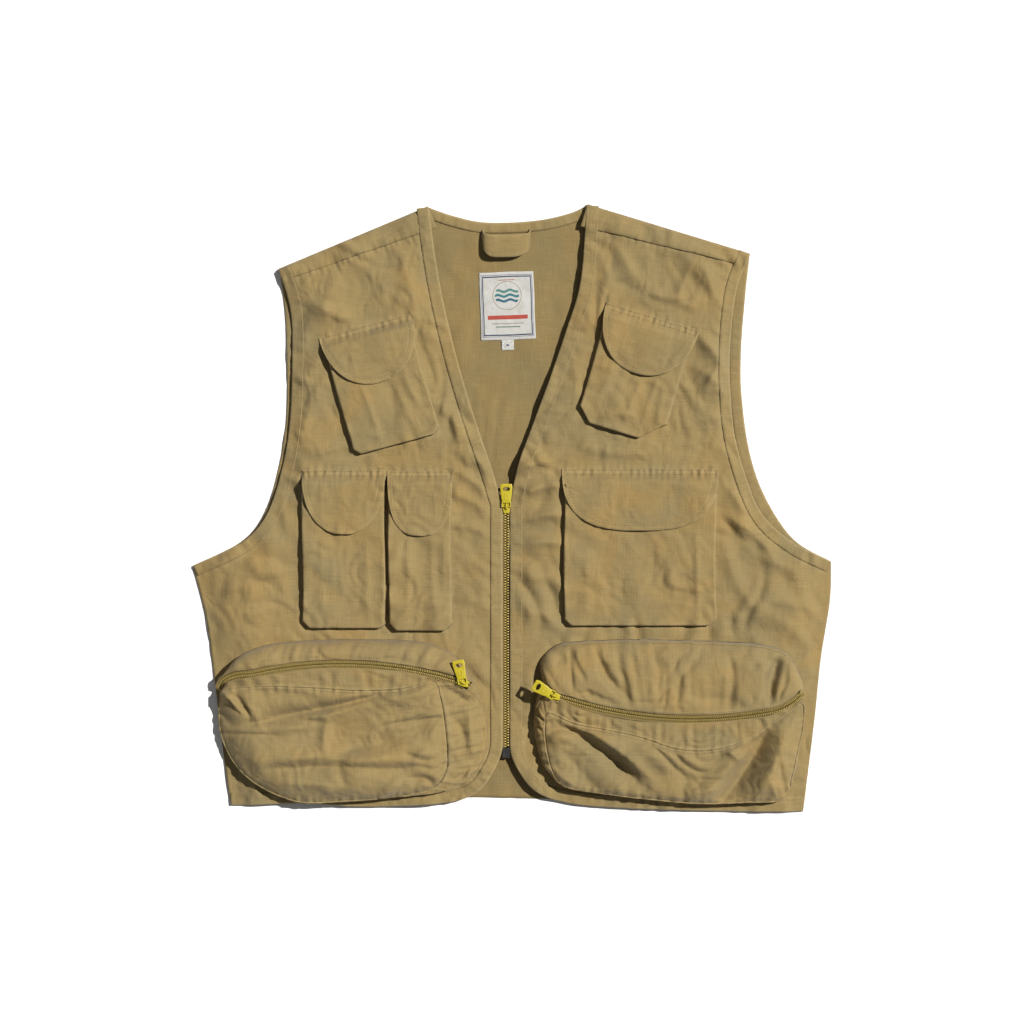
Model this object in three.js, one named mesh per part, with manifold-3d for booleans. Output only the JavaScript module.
// Fishing vest, zipped up and laid flat on its back, in millimetres.
// +Z points up from the table, +Y towards the collar and +X towards the wearer's left side.
// The origin is on the table, under the middle of the vest.
import * as THREE from "three";
import { mergeVertices } from "three/addons/utils/BufferGeometryUtils.js";
import Module from "manifold-3d";

const wasm = await Module();
wasm.setup();

// ---------- driving dimensions ----------
const vestWidth = 620; // underarm to underarm
const vestLength = 588; // neck point to hem
const patternWidth = 620; // the width that the outline points below are drawn for
const patternLength = 588; // and the length
const cloth = 1.0; // thickness of a cloth layer
const seamGap = 0.3; // clearance between pieces that are sewn together
const bodyGap = 9.0; // space between the back and the fronts, where the wearer goes
const bandWidth = 12; // facing along the neck, front edge and hem
const armBandWidth = 11; // facing along the armholes
const neckBandWidth = 10; // facing along the back neck
const yokeAtNeck = 21; // depth of the shoulder piece on the front, at the neck
const yokeAtArm = 12; // and at the armhole
const yokeBack = 18; // depth of the shoulder piece on the back
const pocketDepth = 8; // how far a flap pocket stands off the front
const mouthDrop = 15; // from a flap's seam down to the pocket's mouth
const flapRoot = 4; // flat strip of a flap that is sewn to the front
const flapRise = 9; // length over which a flap climbs onto its pocket
const patchThickness = 0.5; // hook or loop tape
const cargoDepth = 21.7; // how far a cargo pocket stands off the front
const cargoSlope = 10; // how far its sides lean in
const cargoStrip = 14; // from the cargo zip down to the seam of the face
const chainWidth = 5.4; // both rows of teeth of a zip
const chainThickness = 2.4;
const chainSplit = 1.2; // space between the two rows, for the slider's wedge
const tapeThickness = 0.6;
const frontTapeReach = 14; // from the middle of the front zip to the tape's edge
const sliderLength = 13;
const sliderLip = 0.5; // the turned edge of a slider's plates
const sliderSideGap = 0.3; // clearance beside the teeth
const sliderWidth = chainWidth + 2 * (sliderSideGap + sliderLip);
const zipOpening = sliderWidth + 0.8; // width of the slit that a zip shows in
const cargoTapeReach = zipOpening / 2 + 4.6; // the tape's sewn strip, past the slit
const sliderPlate = 1.0;
const sliderGap = 0.25; // running clearance between slider and teeth
const pinRadius = 0.5; // pivot of a puller
const pullerLength = 22; // from its pivot to its free end
const pullerWidth = 12; // at its free end
const pullerThickness = 1.4;
const loopWidth = 47; // hanger loop, between its sewn ends
const loopRise = 9;
const loopStrip = 12;
const labelSize = [53, 66];
const labelThickness = 0.5;
const tabSize = [12, 9.5];

// ---------- heights above the table ----------
const backTop = cloth;
const frontBottom = backTop + bodyGap;
const frontTop = frontBottom + cloth;
const bandBottom = frontTop + seamGap;
const bandTop = bandBottom + cloth;
const liningBottom = backTop + seamGap; // what is sewn to the inside of the back
const liningTop = liningBottom + cloth;
const frontZipMiddle = frontBottom - seamGap - tapeThickness / 2;
const cargoTop = bandBottom + cargoDepth;
const cargoZipMiddle = cargoTop - cloth - seamGap - tapeThickness / 2;

// ---------- outlines, all drawn with the cloth on their left ----------
const across = vestWidth / patternWidth;
const along = vestLength / patternLength;
const point = ([x, y]) => new THREE.Vector2(x * across, y * along);
const curve = (points, pieces = 3) =>
  new THREE.SplineCurve(points.map(point)).getPoints((points.length - 1) * pieces);

const neckRight = [-81, 292];
const neckLeft = [72.7, 294];
const tipRight = [-226, 232];
const tipLeft = [230.6, 246.6];
const underarmRight = [-310, -56];
const underarmLeft = [310, -52];
const hemRight = [-273, -288];
const hemLeft = [283, -294];
const zipX = -5.5 * across; // the front zip stands a little off the middle, as the vest lies
const edgeRight = zipX / across - zipOpening / 2 / across;
const edgeLeft = zipX / across + zipOpening / 2 / across;

const backHem = curve([hemRight, [-140, -283], [-12, -281], [140, -287], hemLeft]);
const neckline = curve([neckLeft, [58, 287], [32, 280.5], [0, 277.5], [-31, 278], [-58, 284], neckRight], 2);
const sideRight = curve([underarmRight, [-297, -108], [-289, -166], [-281, -234], hemRight], 2);
const sideLeft = curve([hemLeft, [287, -262], [294, -205], [300, -147], [309, -89], underarmLeft], 2);
const armBackRight = curve([tipRight, [-220, 190], [-218, 130], [-219, 85], [-225, 46],
  [-239, -3], [-262, -32], underarmRight], 3);
const armBackLeft = curve([underarmLeft, [274, -31], [247, 8], [231, 52], [223, 105],
  [222, 150], [226, 205], tipLeft], 3);
const shoulderRight = [point(neckRight), point(tipRight)];
const shoulderLeft = [point(tipLeft), point(neckLeft)];

const armFrontRight = curve([tipRight, [-214, 190], [-213, 130], [-215, 85], [-221, 46],
  [-236, -3], [-261, -33], underarmRight], 3);
const armFrontLeft = curve([underarmLeft, [272, -33], [240, -2], [219, 56], [212, 105],
  [211, 150], [217, 210], tipLeft], 3);
// Each runs round the lower corner, straight up the front zip and along the neck.
const edgePathRight = [
  ...curve([hemRight, [-205, -286], [-147, -289], [-105, -288], [-58, -284], [-33, -274],
    [-19, -256], [edgeRight - 1, -236], [edgeRight, -215]], 3),
  ...curve([[edgeRight, 4], [-21, 42], [-36, 86], [-52, 139], [-65, 192],
    [-74, 239], neckRight], 3),
];
const edgePathLeft = [
  ...curve([neckLeft, [67, 221], [53, 173], [37, 126], [20, 80], [6, 41], [edgeLeft, 4]], 3),
  ...curve([[edgeLeft, -215], [edgeLeft + 1, -238], [9, -258], [22, -273], [44, -283], [85, -289],
    [182, -293], hemLeft], 3),
];

// One closed outline from edges that follow each other, without the points that they share.
function outlineOf(...edges) {
  const points = edges.flat();
  return points.filter((p, i) => p.distanceTo(points[(i + 1) % points.length]) > 0.01);
}

const backOutline = outlineOf(backHem, sideLeft, armBackLeft, neckline, armBackRight, sideRight);
const frontOutlineRight = outlineOf(edgePathRight, armFrontRight, sideRight);
const frontOutlineLeft = outlineOf(edgePathLeft, sideLeft, armFrontLeft);

// ---------- shapes ----------
// The path moved sideways to its left.
function offset(path, distance) {
  return path.map((p, i) => {
    const before = path[Math.max(i - 1, 0)];
    const after = path[Math.min(i + 1, path.length - 1)];
    const direction = after.clone().sub(before).normalize();
    return new THREE.Vector2(p.x - direction.y * distance, p.y + direction.x * distance);
  });
}

// The strip between two distances to the left of a path.
const strip = (path, near, far) => [...offset(path, near), ...offset(path, far).reverse()];

// The path with its two ends drawn out straight.
function stretched(path, more) {
  const [first, second] = path;
  const [last, nextToLast] = [path[path.length - 1], path[path.length - 2]];
  const head = first.clone().sub(second).setLength(more).add(first);
  const tail = last.clone().sub(nextToLast).setLength(more).add(last);
  return [head, ...path, tail];
}

function plate(outline, bottom, top) {
  const geometry = new THREE.ExtrudeGeometry(new THREE.Shape(outline), {
    depth: top - bottom,
    bevelEnabled: false,
  });
  return geometry.translate(0, 0, bottom);
}

function box(width, length, height, x, y, z) {
  return new THREE.BoxGeometry(width, length, height).translate(x, y, z);
}

// A solid between two closed outlines with the same number of points.
function loft(lower, lowerZ, upper, upperZ) {
  const count = lower.length;
  const corners = [
    ...lower.map((p) => [p.x, p.y, lowerZ]),
    ...upper.map((p) => [p.x, p.y, upperZ]),
  ];
  const faces = [];
  for (const [a, b, c] of THREE.ShapeUtils.triangulateShape(lower, [])) faces.push(c, b, a);
  for (const [a, b, c] of THREE.ShapeUtils.triangulateShape(upper, [])) {
    faces.push(a + count, b + count, c + count);
  }
  for (let i = 0; i < count; i++) {
    const next = (i + 1) % count;
    faces.push(i, next, next + count, i, next + count, i + count);
  }
  const geometry = new THREE.BufferGeometry();
  geometry.setAttribute("position", new THREE.Float32BufferAttribute(corners.flat(), 3));
  geometry.setIndex(faces);
  return geometry;
}

function solid(geometry) {
  const bare = geometry.clone();
  bare.deleteAttribute("normal");
  bare.deleteAttribute("uv");
  const merged = mergeVertices(bare, 1e-4);
  return new wasm.Manifold(new wasm.Mesh({
    numProp: 3,
    vertProperties: new Float32Array(merged.attributes.position.array),
    triVerts: new Uint32Array(merged.index.array),
  }));
}

function geometryOf(made) {
  const mesh = made.getMesh();
  const geometry = new THREE.BufferGeometry();
  geometry.setAttribute("position", new THREE.BufferAttribute(mesh.vertProperties, 3));
  geometry.setIndex(new THREE.BufferAttribute(mesh.triVerts, 1));
  return geometry;
}

const joined = (...parts) => geometryOf(parts.map(solid).reduce((a, b) => a.add(b)));
const cut = (part, ...cutters) => geometryOf(cutters.map(solid).reduce((a, b) => a.subtract(b), solid(part)));
const common = (part, other) => geometryOf(solid(part).intersect(solid(other)));

// ---------- materials ----------
const fabric = (color) => new THREE.MeshStandardMaterial({ color, roughness: 0.9 });
const khaki = fabric(0xa89260);
const bandKhaki = fabric(0x9f8958);
const zipTape = fabric(0x8f7c48);
const labelWhite = fabric(0xdedcd2);
const hookTape = fabric(0x8c7a50);
const teethGold = new THREE.MeshStandardMaterial({ color: 0xa08a45, roughness: 0.45 });
const yellowEnamel = new THREE.MeshStandardMaterial({ color: 0xe0cb1e, roughness: 0.3, metalness: 0.2 });
const blackPlastic = new THREE.MeshStandardMaterial({ color: 0x101010, roughness: 0.5 });

const vest = new THREE.Group();

function add(name, geometry, material, parent = vest) {
  const mesh = new THREE.Mesh(geometry, material);
  mesh.name = name;
  parent.add(mesh);
  return mesh;
}

// ---------- back, shoulder pieces and fronts ----------
const clear = 4; // how far a cutter runs past what it cuts
const foldRoom = cloth + seamGap; // the fold of a shoulder piece and the clearance inside it

const shoulders = {
  right: { line: shoulderRight, neckFirst: true, front: frontOutlineRight, arm: armFrontRight,
    edge: edgePathRight, side: sideRight, armBack: armBackRight },
  left: { line: shoulderLeft, neckFirst: false, front: frontOutlineLeft, arm: armFrontLeft,
    edge: edgePathLeft, side: sideLeft, armBack: armBackLeft },
};

// What a shoulder's fold needs clear, in plan.
const foldCutter = (line, room, bottom, top) =>
  plate(strip(stretched(line, bandWidth), -2 * bandWidth, room), bottom, top);

function backPanel() {
  const cutters = Object.values(shoulders).map(({ line }) =>
    plate(strip(stretched(line, clear), -clear, yokeBack + seamGap), -1, cloth + 1));
  return cut(plate(backOutline, 0, backTop), ...cutters);
}

// A shoulder piece wraps over the shoulder: a strip on the front, the fold, and a strip on the back.
function shoulderYoke({ line, neckFirst, front, arm, edge }) {
  const [start, end] = line;
  const depths = neckFirst ? [yokeAtNeck, yokeAtArm] : [yokeAtArm, yokeAtNeck];
  const inward = offset(line, 1).map((p, i) => p.sub(line[i]));
  const seam = [end.clone().addScaledVector(inward[1], depths[1]),
    start.clone().addScaledVector(inward[0], depths[0])];
  const frontStrip = common(plate([start, end, ...seam], bandBottom, bandTop), plate(front, 0, bandTop + 1));
  const trimmed = cut(frontStrip,
    plate(strip(edge, -clear, bandWidth + seamGap), bandBottom - 1, bandTop + 1),
    plate(strip(arm, -clear, armBandWidth + seamGap), bandBottom - 1, bandTop + 1));
  const fold = plate(strip(line, 0, cloth), 0, bandTop);
  const backStrip = common(plate(strip(line, 0, yokeBack), 0, cloth), plate(backOutline, -1, 2));
  return joined(trimmed, fold, backStrip);
}

// A front is a sheet that turns down along its side seam to meet the back.
function frontPanel({ line, front, side }) {
  const sheet = cut(plate(front, frontBottom, frontTop),
    foldCutter(line, foldRoom, frontBottom - 1, frontTop + 1));
  const sideSeam = plate(strip(side, 0, cloth), liningBottom, frontTop);
  return joined(sheet, sideSeam);
}

const edgeBand = ({ line, edge }) =>
  cut(plate(strip(edge, 0, bandWidth), bandBottom, bandTop),
    foldCutter(line, foldRoom, bandBottom - 1, bandTop + 1));

const armBand = ({ line, arm }) =>
  cut(plate(strip(arm, 0, armBandWidth), bandBottom, bandTop),
    foldCutter(line, foldRoom, bandBottom - 1, bandTop + 1));

const armBandInside = ({ line, armBack, side }) =>
  cut(plate(strip(armBack, 0, armBandWidth), liningBottom, liningTop),
    foldCutter(line, foldRoom, liningBottom - 1, liningTop + 1),
    plate(strip(stretched(side, clear), -clear, foldRoom), liningBottom - 1, liningTop + 1));

function neckBand() {
  const cutters = Object.values(shoulders).map(({ line }) =>
    foldCutter(line, foldRoom, liningBottom - 1, liningTop + 1));
  return cut(plate(strip(neckline, 0, neckBandWidth), liningBottom, liningTop), ...cutters);
}

add("back_panel", backPanel(), khaki);
add("back_neck_band", neckBand(), bandKhaki);
for (const [side, pieces] of Object.entries(shoulders)) {
  add(`${side}_shoulder_yoke`, shoulderYoke(pieces), khaki);
  add(`${side}_front_panel`, frontPanel(pieces), khaki);
  add(`${side}_front_edge_band`, edgeBand(pieces), bandKhaki);
  add(`${side}_armhole_band_front`, armBand(pieces), bandKhaki);
  add(`${side}_armhole_band_back`, armBandInside(pieces), bandKhaki);
}

// ---------- hanger loop, label and size tab on the inside of the back ----------
const loopMiddle = point([-5.5, 272]);

// An arched strip that droops towards the hem as it rises.
function hangerLoop() {
  const droop = 1.2; // towards the hem for each unit of rise
  const arch = new THREE.Shape();
  arch.absellipse(0, 0, loopWidth / 2, loopRise, 0, Math.PI, false);
  const inner = new THREE.EllipseCurve(0, 0, loopWidth / 2 - cloth, loopRise - cloth, 0, Math.PI, false);
  const outline = [...arch.getPoints(20), ...inner.getPoints(20).reverse()];
  const geometry = plate(outline, 0, loopStrip).rotateX(Math.PI / 2);
  const shear = new THREE.Matrix4().set(1, 0, 0, 0, 0, 1, -droop, 0, 0, 0, 1, 0, 0, 0, 0, 1);
  return geometry.applyMatrix4(shear);
}

add("hanger_loop", hangerLoop(), bandKhaki).position.set(loopMiddle.x, loopMiddle.y, liningTop + seamGap);

const labelGroup = new THREE.Group();
const labelMiddle = point([-4.5, 197]);
labelGroup.position.set(labelMiddle.x, labelMiddle.y, liningBottom + labelThickness / 2);
labelGroup.rotation.z = THREE.MathUtils.degToRad(2);
vest.add(labelGroup);
add("neck_label", box(...labelSize, labelThickness, 0, 0, 0), labelWhite, labelGroup);
const tabDrop = labelSize[1] / 2 + seamGap + tabSize[1] / 2;
add("size_tab", box(...tabSize, labelThickness, -1, -tabDrop, 0), labelWhite, labelGroup);

// ---------- flap pockets ----------
// The waist flaps fill the fronts between the band at the zip and the band at the armhole.
const waistSpanRight = [point([-221, 0]).x + armBandWidth, point([-21, 0]).x - bandWidth];
const waistSpanLeft = [point([6, 0]).x + bandWidth, point([225, 0]).x - armBandWidth];
const waistSpareRight = [6.5, 24.5]; // left clear at the armhole and at the zip
const waistSpareLeft = [30.5, 14.5]; // left clear at the zip and at the armhole
const waistFlapGap = 2; // between the two flaps on the right

const filled = ([from, to], [first, last]) => to - from - first - last;

const innerFlap = [63, 63];
const outerFlap = [filled(waistSpanRight, waistSpareRight) - waistFlapGap - innerFlap[0], 62];
const leftFlap = [filled(waistSpanLeft, waistSpareLeft), 60];
const pairX = waistSpanRight[0] + waistSpareRight[0];
const leftX = waistSpanLeft[0] + waistSpareLeft[0];
const cargoTopRight = -128; // the top seams of the cargo pockets, in the pattern
const cargoTopLeft = -126;

// at is the middle of the flap's seam, and turn is in degrees. Its flap has a width and a length, its bag has
// a width, and its bottom stays the spare length above the next pocket, whose top in the pattern is next.
// square is the exponent of the flap's rounded outline: 2 is an ellipse, and more is squarer.
const flapPockets = [
  { name: "right_chest", at: point([-142, 177]), turn: 15, next: 37, spare: 21,
    flap: [93, 57], width: 86, square: 2.2, patch: [42, 26] },
  { name: "left_chest", at: point([136.5, 186]), turn: -17, next: 38.5, spare: 30.5,
    flap: [94, 58], width: 86, square: 2.2, patch: [42, 26] },
  { name: "right_waist_outer", at: new THREE.Vector2(pairX + outerFlap[0] / 2, point([0, 37]).y),
    turn: 0, next: cargoTopRight, spare: 12,
    flap: outerFlap, width: outerFlap[0] - 1, square: 2.3, patch: [43, 30] },
  { name: "right_waist_inner",
    at: new THREE.Vector2(pairX + outerFlap[0] + waistFlapGap + innerFlap[0] / 2, point([0, 36.5]).y),
    turn: 0, next: cargoTopRight, spare: 9.5,
    flap: innerFlap, width: innerFlap[0] - 2, square: 2.8, patch: [28, 29] },
  { name: "left_waist", at: new THREE.Vector2(leftX + leftFlap[0] / 2, point([0, 38.5]).y),
    turn: 0, next: cargoTopLeft, spare: 12.5,
    flap: leftFlap, width: leftFlap[0] - 4, square: 2.8, patch: [56, 33] },
];
const cornerCut = 7; // the bottom corners of a pocket are cut off

// A pocket is a tray, open at its mouth and towards the front that it is sewn to.
function pocketBag(width, height) {
  const half = width / 2;
  const tray = (inset, mouth) => [
    new THREE.Vector2(-half + inset, mouth),
    new THREE.Vector2(-half + inset, -height + cornerCut),
    new THREE.Vector2(-half + cornerCut, -height + inset),
    new THREE.Vector2(half - cornerCut, -height + inset),
    new THREE.Vector2(half - inset, -height + cornerCut),
    new THREE.Vector2(half - inset, mouth),
  ];
  const outer = plate(tray(0, -mouthDrop), seamGap, seamGap + pocketDepth);
  const inner = plate(tray(cloth, -mouthDrop + clear), -1, seamGap + pocketDepth - cloth);
  return cut(outer, inner);
}

// A flap lies flat at its seam, climbs onto the pocket and covers its mouth.
function pocketFlap([width, length], square) {
  const lowest = seamGap;
  const lid = seamGap + pocketDepth + 3 * seamGap + 2 * patchThickness;
  const slant = 0.6; // keeps the climbing part as thick as the rest
  const profile = [
    [0, lowest], [flapRoot, lowest], [flapRoot + flapRise, lid], [length, lid],
    [length, lid + cloth], [flapRoot + flapRise - slant, lid + cloth],
    [flapRoot - slant, lowest + cloth], [0, lowest + cloth],
  ].map(([down, up]) => new THREE.Vector2(down, up));
  // extruded along the seam, then turned so that it hangs from the seam
  const sheet = new THREE.ExtrudeGeometry(new THREE.Shape(profile), { depth: width, bevelEnabled: false });
  sheet.applyMatrix4(new THREE.Matrix4().set(0, 0, -1, width / 2, -1, 0, 0, 0, 0, 1, 0, 0, 0, 0, 0, 1));
  const steps = 22;
  const outline = Array.from({ length: steps + 1 }, (_, i) => {
    const angle = Math.PI * (1 + i / steps);
    const power = 2 / square;
    const side = Math.sign(Math.cos(angle)) * Math.abs(Math.cos(angle)) ** power;
    return new THREE.Vector2(side * width / 2, -(Math.abs(Math.sin(angle)) ** power) * length);
  });
  return common(plate(outline, -1, lid + cloth + 1), sheet);
}

for (const { name, at, turn, next, spare, flap, width, square, patch } of flapPockets) {
  const group = new THREE.Group();
  group.position.set(at.x, at.y, frontTop);
  group.rotation.z = THREE.MathUtils.degToRad(turn);
  vest.add(group);
  const pocketTop = seamGap + pocketDepth;
  const patchY = -(flapRoot + flapRise + flap[1]) / 2 + 2;
  const loopZ = pocketTop + seamGap + patchThickness / 2;
  const hookZ = loopZ + patchThickness + seamGap;
  const height = at.y - point([0, next]).y - spare;
  add(`${name}_pocket`, pocketBag(width, height), khaki, group);
  add(`${name}_loop_patch`, box(...patch, patchThickness, 0, patchY, loopZ), hookTape, group);
  add(`${name}_hook_patch`, box(...patch, patchThickness, 0, patchY, hookZ), hookTape, group);
  add(`${name}_flap`, pocketFlap(flap, square), khaki, group);
}

// ---------- zips ----------
const sliderPlateInside = chainThickness / 2 + sliderGap;
const sliderPlateOutside = sliderPlateInside + sliderPlate;
const pinHeight = sliderPlateOutside + 1.5; // of the puller's pivot above the middle of the chain

// A slider, with its open end towards +Y and the middle of the chain at height 0: two plates with turned
// edges that hold the teeth, a wedge between the rows, and an arch on top for the puller's pin.
function zipSlider() {
  const lipReach = 0.7; // half the slot that the tape comes out of
  const wedge = chainSplit - 0.4;
  const archHalf = 2.2;
  const archLeg = 1.0;
  const archWidth = 1.2;
  const archTop = pinHeight + pinRadius + 1.05;
  const archInside = pinHeight + pinRadius + 0.25;
  const parts = [box(wedge, 2.5, 2 * sliderPlateInside + 0.2, 0, sliderLength / 2 - 1.5, 0)];
  for (const side of [-1, 1]) {
    const plateMiddle = side * (sliderPlateInside + sliderPlate / 2);
    parts.push(box(sliderWidth, sliderLength, sliderPlate, 0, 0, plateMiddle));
    for (const edge of [-1, 1]) {
      const lipHeight = sliderPlateInside - lipReach + 0.1;
      parts.push(box(sliderLip, sliderLength, lipHeight,
        edge * (sliderWidth - sliderLip) / 2, 0, side * (lipReach + lipHeight / 2)));
    }
    const legHeight = archTop - sliderPlateOutside + 0.2;
    parts.push(box(archWidth, archLeg, legHeight,
      0, side * (archHalf + archLeg / 2), archTop - legHeight / 2));
  }
  const bar = archTop - archInside;
  parts.push(box(archWidth, 2 * (archHalf + archLeg), bar, 0, 0, archTop - bar / 2));
  return joined(...parts);
}

// A puller, with its pin at the origin and its tab towards +Y: the pin, two arms and a tapered tab
// with a large hole near its end.
function zipPuller() {
  const armInside = 3.4;
  const armOutside = 4.6;
  const tabStart = 3.9;
  const half = pullerThickness / 2;
  const corner = 2;
  const endHalf = pullerWidth / 2;
  const tab = new THREE.Shape([
    [-armOutside, tabStart], [armOutside, tabStart], [endHalf, pullerLength - corner],
    [endHalf - corner, pullerLength], [-endHalf + corner, pullerLength],
    [-endHalf, pullerLength - corner],
  ].map(([x, y]) => new THREE.Vector2(x, y)));
  const eye = new THREE.Path();
  eye.absellipse(0, pullerLength - 5, 3.4, 2.0, 0, 2 * Math.PI, true);
  tab.holes.push(eye);
  const flat = new THREE.ExtrudeGeometry(tab, {
    depth: pullerThickness,
    bevelEnabled: false,
    curveSegments: 6,
  });
  flat.translate(0, 0, -half);
  const pin = new THREE.CylinderGeometry(pinRadius, pinRadius, 2 * armOutside, 10).rotateZ(Math.PI / 2);
  const parts = [flat, pin];
  for (const side of [-1, 1]) {
    parts.push(box(armOutside - armInside, tabStart + 0.9, pullerThickness,
      side * (armInside + armOutside) / 2, (tabStart + 0.1) / 2, 0));
  }
  return joined(...parts);
}

const rowInside = chainSplit / 2;
const rowOutside = chainWidth / 2;
const tapeInside = rowOutside + seamGap;

const strand = (path, side, near, far, thickness, middle) =>
  plate(side > 0 ? strip(path, near, far) : strip(path, -far, -near),
    middle - thickness / 2, middle + thickness / 2);

// The front zip runs straight down to its retainer box.
const zipTop = point([0, 8.7]).y;
const zipBottom = point([0, -232]).y;
const frontLine = [new THREE.Vector2(zipX, zipBottom), new THREE.Vector2(zipX, zipTop)];
const tapeLine = [new THREE.Vector2(zipX, zipBottom), new THREE.Vector2(zipX, zipTop + 3)];
for (const [name, side] of [["right", 1], ["left", -1]]) {
  add(`front_zip_${name}_teeth`,
    strand(frontLine, side, rowInside, rowOutside, chainThickness, frontZipMiddle), teethGold);
  add(`front_zip_${name}_tape`,
    strand(tapeLine, side, tapeInside, frontTapeReach, tapeThickness, frontZipMiddle), zipTape);
  add(`front_zip_${name}_top_stop`,
    box(rowOutside - rowInside, 2, chainThickness,
      zipX - side * (rowInside + rowOutside) / 2, zipTop + seamGap + 1, frontZipMiddle), teethGold);
}

// The retainer box holds the insertion pin of the other side, so that the zip comes apart.
const retainerLength = 9.4;
const retainerWidth = zipOpening - 2 * seamGap;
const insertionPin = [1.4, 9.8, 1.4];
const pinRoom = 0.3;
const retainerY = zipBottom - seamGap - retainerLength / 2;
const pinX = zipX + rowOutside - insertionPin[0] / 2;
const pinSocket = box(insertionPin[0] + 2 * pinRoom, retainerLength + 2, insertionPin[2] + 2 * pinRoom,
  pinX, retainerY, frontZipMiddle);
const retainer = box(retainerWidth, retainerLength, chainThickness, zipX, retainerY, frontZipMiddle);
add("front_zip_retainer_box", cut(retainer, pinSocket), blackPlastic);
add("front_zip_insertion_pin", box(...insertionPin, pinX, retainerY - 0.3, frontZipMiddle), blackPlastic);

const slider = zipSlider();
const puller = zipPuller();

// A slider with its puller: pull is the way its open end points, and lie the way its puller lies, in degrees.
function placeSlider(name, x, y, middle, pull, lie) {
  const group = new THREE.Group();
  group.position.set(x, y, middle);
  vest.add(group);
  add(`${name}_slider`, slider, yellowEnamel, group).rotation.z = THREE.MathUtils.degToRad(pull - 90);
  const tab = add(`${name}_puller`, puller, yellowEnamel, group);
  tab.position.z = pinHeight;
  tab.rotation.z = THREE.MathUtils.degToRad(lie - 90);
}

placeSlider("front_zip", zipX, zipTop - 0.3 - sliderLength / 2, frontZipMiddle, 90, 90);

// ---------- cargo pockets ----------
// A pocket runs from side, in the pattern, to the band along the zip, which it clears by zipSpare. Its bottom
// clears the hem's band by hemSpare, where hem is the lowest point of the hem in the pattern. Its corners are
// those at the top, at the side and at the zip, then the bottom one at the side. The bottom corner at the zip
// follows the front's round corner, which ends at roundTo in the pattern. A zip runs from its start, where
// its slider lies, to its end. Each is given as the distance in from the pocket's side and down from its top,
// and bow is how far its middle stands towards the collar. startsLeft says that the start is at the left as
// the vest lies. lie is the way that the puller points, in degrees.
const cargoPockets = [
  { name: "right_cargo", side: -270, top: cargoTopRight, hem: -289, hemSpare: 5, zipSpare: 5.6,
    corners: [30, 26, 60], roundTo: -105, roundSpare: 14,
    start: [20.5, 39.5], end: [20, 31], bow: 13.4, startsLeft: false, lie: 102 },
  { name: "left_cargo", side: 276, top: cargoTopLeft, hem: -294, hemSpare: 7, zipSpare: 7.6,
    corners: [25, 25, 30], roundTo: 85, roundSpare: 9,
    start: [22, 54], end: [24, 69], bow: -14.2, startsLeft: true, lie: 150 },
];

// A pocket's outline in plan: its lowest and highest corner, and the radii of its rounded corners at the top
// left, bottom left, bottom right and top right.
function cargoPlan({ side, top, hem, hemSpare, zipSpare, corners, roundTo, roundSpare }) {
  const outer = point([side, 0]).x;
  const onRight = outer < 0;
  const zipSide = onRight
    ? point([edgeRight, 0]).x - bandWidth - zipSpare
    : point([edgeLeft, 0]).x + bandWidth + zipSpare;
  const round = Math.abs(point([roundTo, 0]).x - zipSide) - roundSpare;
  const [topSide, topZip, bottomSide] = corners;
  return {
    low: new THREE.Vector2(Math.min(outer, zipSide), point([0, hem]).y + bandWidth + hemSpare),
    high: new THREE.Vector2(Math.max(outer, zipSide), point([0, top]).y),
    radii: onRight ? [topSide, bottomSide, round, topZip] : [topZip, round, bottomSide, topSide],
  };
}

// The rectangle with rounded corners, drawn with the cloth on its left.
function roundedOutline({ low, high, radii }) {
  const quarter = Math.PI / 2;
  const spots = [
    [low.x, high.y, 1, -1], [low.x, low.y, 1, 1], [high.x, low.y, -1, 1], [high.x, high.y, -1, -1],
  ];
  return spots.flatMap(([x, y, inX, inY], i) => {
    const radius = radii[i];
    const from = (1 + i) * quarter;
    const [middleX, middleY] = [x + inX * radius, y + inY * radius];
    return new THREE.EllipseCurve(middleX, middleY, radius, radius, from, from + quarter).getPoints(5);
  });
}

// A closed outline moved inwards.
const inset = (outline, distance) => outline.map((p, i) => {
  const count = outline.length;
  const before = outline[(i + count - 1) % count];
  const after = outline[(i + 1) % count];
  const direction = after.clone().sub(before).normalize();
  return new THREE.Vector2(p.x - direction.y * distance, p.y + direction.x * distance);
});

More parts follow.
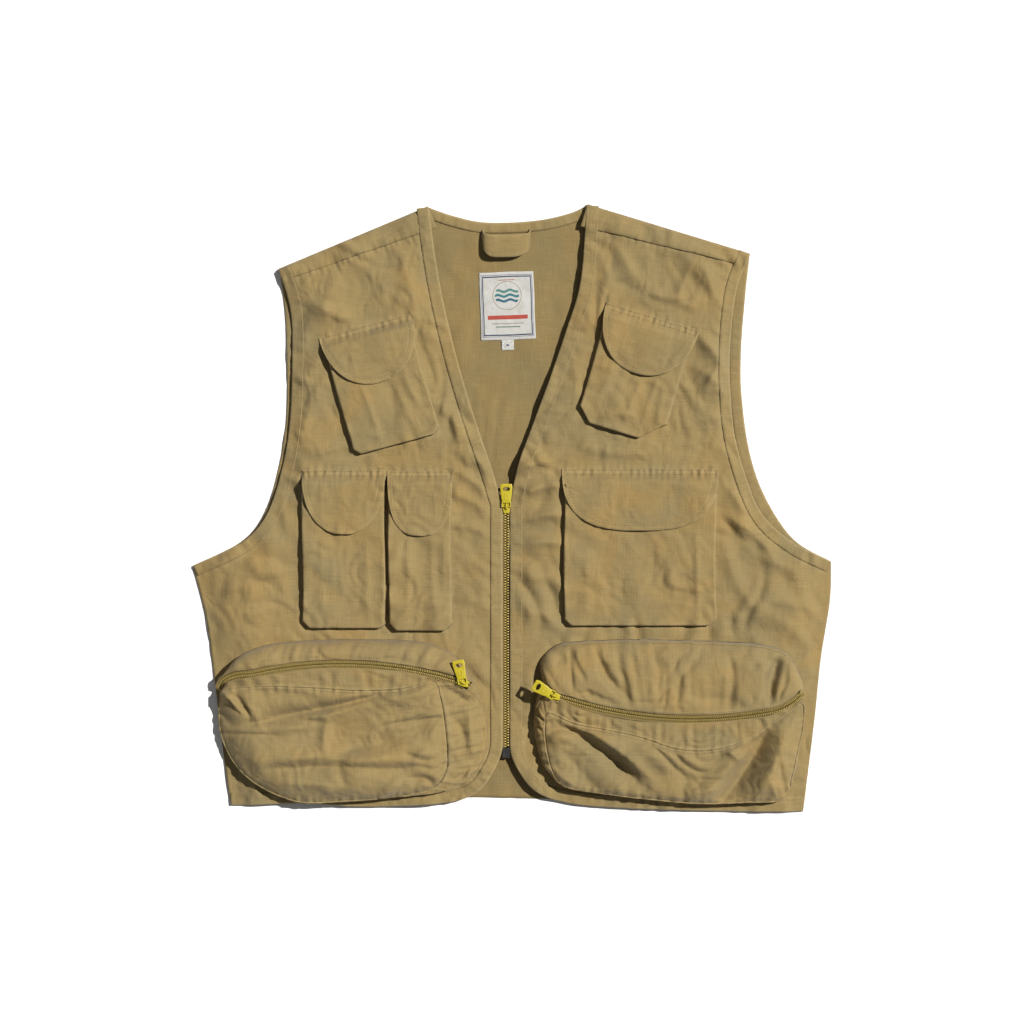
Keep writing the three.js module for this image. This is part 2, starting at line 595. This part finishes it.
// The arc of a cargo zip, drawn with the collar on its right, with its start and the way that a slider's open
// end points there, in degrees.
function zipArc({ low, high }, { start, end, bow, startsLeft }) {
  const [atLeft, atRight] = startsLeft ? [start, end] : [end, start];
  const a = new THREE.Vector2(low.x + atLeft[0], high.y - atLeft[1]);
  const b = new THREE.Vector2(high.x - atRight[0], high.y - atRight[1]);
  const chord = b.clone().sub(a);
  const reach = (chord.lengthSq() / 4 - bow ** 2) / (2 * bow); // from the chord to the arc's centre
  const up = new THREE.Vector2(-chord.y, chord.x).normalize();
  const centre = a.clone().add(b).multiplyScalar(0.5).addScaledVector(up, -reach);
  const radius = centre.distanceTo(a);
  const angleOf = (p) => Math.atan2(p.y - centre.y, p.x - centre.x);
  const arc = new THREE.EllipseCurve(centre.x, centre.y, radius, radius, angleOf(b), angleOf(a), bow < 0);
  const first = startsLeft ? a : b;
  const outwards = startsLeft === bow > 0 ? 90 : -90;
  return { line: arc.getPoints(24), start: first, pull: THREE.MathUtils.radToDeg(angleOf(first)) + outwards };
}

// A hollow frustum, open towards the front, is cut along the zip into the gusset above it and the pocket
// below it, whose face is a piece of its own.
function cargoPocket(spec) {
  const { name, lie } = spec;
  const plan = cargoPlan(spec);
  const outline = roundedOutline(plan);
  const far = 400; // past every edge of the pocket
  const arc = zipArc(plan, spec);
  const shell = cut(loft(outline, bandBottom, inset(outline, cargoSlope), cargoTop),
    loft(inset(outline, cloth), bandBottom - 1, inset(outline, cargoSlope + cloth), cargoTop - cloth));
  const long = stretched(arc.line, far);
  // the collar is on the right of the arc, so the hem is on its left
  const beside = (distance, way) => {
    const edge = offset(long, distance);
    const [first, last] = [edge[0], edge[edge.length - 1]];
    const beyond = [last, first].map((p) => new THREE.Vector2(p.x, p.y + way * far));
    const region = [...edge, ...beyond];
    return plate(way < 0 ? region : region.reverse(), 0, cargoTop + 1);
  };
  const below = (distance) => beside(distance, -1);
  const above = beside(-seamGap / 2, 1);
  const slitLine = stretched(arc.line, sliderLength / 2 + seamGap);
  const slit = plate(strip(slitLine, -zipOpening / 2, zipOpening / 2), 0, cargoTop + 1);
  const faceOutline = (grow) => plate(inset(outline, cargoSlope + cloth - grow), 0, cargoTop + 1);
  const face = common(common(cut(shell, slit), below(cargoStrip)), faceOutline(0));
  const faceRoom = common(below(cargoStrip - seamGap), faceOutline(seamGap));
  add(`${name}_upper_gusset`, cut(common(shell, above), slit), khaki);
  add(`${name}_lower_gusset`, cut(common(shell, below(seamGap / 2)), slit, faceRoom), khaki);
  add(`${name}_face`, face, khaki);
  for (const [row, side] of [["upper", -1], ["lower", 1]]) {
    add(`${name}_zip_${row}_stringer`,
      joined(strand(arc.line, side, rowInside, rowOutside, chainThickness, cargoZipMiddle),
        strand(arc.line, side, rowOutside - 0.2, cargoTapeReach, tapeThickness, cargoZipMiddle)), zipTape);
  }
  placeSlider(`${name}_zip`, arc.start.x, arc.start.y, cargoZipMiddle, arc.pull, lie);
}

cargoPockets.forEach(cargoPocket);

export default vest;
